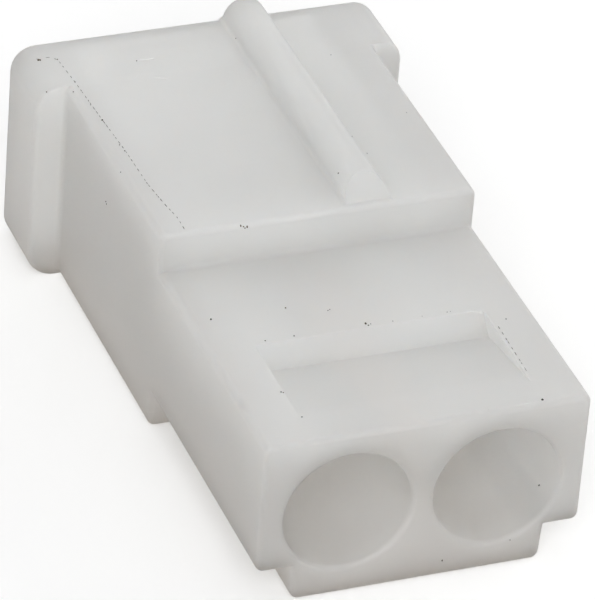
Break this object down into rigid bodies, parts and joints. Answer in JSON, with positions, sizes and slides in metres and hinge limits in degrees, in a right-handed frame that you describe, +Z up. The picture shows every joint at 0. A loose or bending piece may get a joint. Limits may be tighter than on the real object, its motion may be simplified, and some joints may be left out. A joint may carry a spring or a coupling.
{
  "type": "wire to board connector housing",
  "caption": "Hooded crimp-terminal connector housing with round wire entries, a flanged mating mouth for side latches and an off-centre polarising rib.",
  "frame": {"origin": "bottom centre of the bounding box, on the plane of the keel and the hood's underside", "axes": "+X across the circuits, +Y along the housing from the wire-entry face to the mating mouth, +Z up towards the polarising rib"},
  "size_m": [0.0174, 0.0296, 0.011],
  "materials": {
    "natural_nylon": "natural, milky and slightly translucent nylon, satin from the mould"
  },
  "bodies": {
    "root": {"housing": "natural_nylon"}
  },
  "joints": []
}
